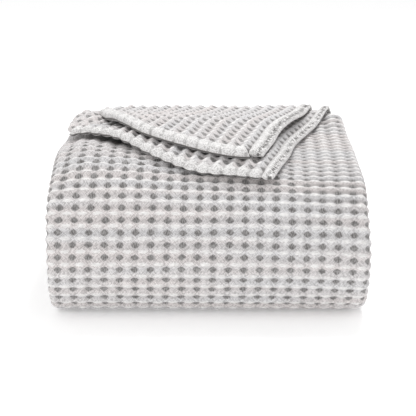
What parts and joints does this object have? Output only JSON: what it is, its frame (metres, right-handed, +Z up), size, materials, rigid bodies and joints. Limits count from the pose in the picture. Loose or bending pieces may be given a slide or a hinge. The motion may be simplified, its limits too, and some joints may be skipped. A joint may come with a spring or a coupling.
{
  "type": "folded throw blanket",
  "caption": "Waffle-weave throw folded into a soft square pack with a rounded front fold and two hemmed corner flaps turned forward over the top.",
  "frame": {"origin": "centre of the pack's bounding box, on the surface it lies on", "axes": "+X across the pack to the viewer's right, -Y towards the rounded front fold, +Z up"},
  "size_m": [0.34, 0.344, 0.1723],
  "materials": {
    "waffle_cloth": "matte",
    "hem_cloth": "matte",
    "sewing_thread": "matte"
  },
  "bodies": {
    "stack": {"outer_wrap": "waffle_cloth", "wrap_layer_2": "waffle_cloth", "wrap_layer_3": "waffle_cloth", "wrap_layer_4": "waffle_cloth", "core_layer_1": "waffle_cloth", "core_layer_2": "waffle_cloth", "core_layer_3": "waffle_cloth", "core_layer_4": "waffle_cloth", "core_end_hem_1": "hem_cloth", "core_end_hem_2": "hem_cloth", "core_end_hem_3": "hem_cloth", "core_end_hem_4": "hem_cloth", "rear_turn_1": "waffle_cloth", "rear_turn_2": "waffle_cloth", "rear_turn_3": "waffle_cloth", "rear_turn_4": "waffle_cloth"},
    "lower_flap": {"lower_flap": "waffle_cloth", "lower_flap_side_hem": "hem_cloth", "lower_flap_end_hem": "hem_cloth", "lower_flap_side_thread": "sewing_thread", "lower_flap_end_thread": "sewing_thread"},
    "upper_flap": {"upper_flap": "waffle_cloth", "upper_flap_side_hem": "hem_cloth", "upper_flap_end_hem": "hem_cloth", "upper_flap_side_thread": "sewing_thread", "upper_flap_end_thread": "sewing_thread"}
  },
  "joints": [
    {"name": "lower_flap_lift", "type": "hinge", "parent": "stack", "child": "lower_flap", "pos_m": [0, 0.17, 0.1462], "axis": [-1, 0, 0], "range_deg": [0, 80]},
    {"name": "upper_flap_lift", "type": "hinge", "parent": "lower_flap", "child": "upper_flap", "pos_m": [0, 0.17, 0.1634], "axis": [-1, 0, 0], "range_deg": [0, 70]}
  ]
}
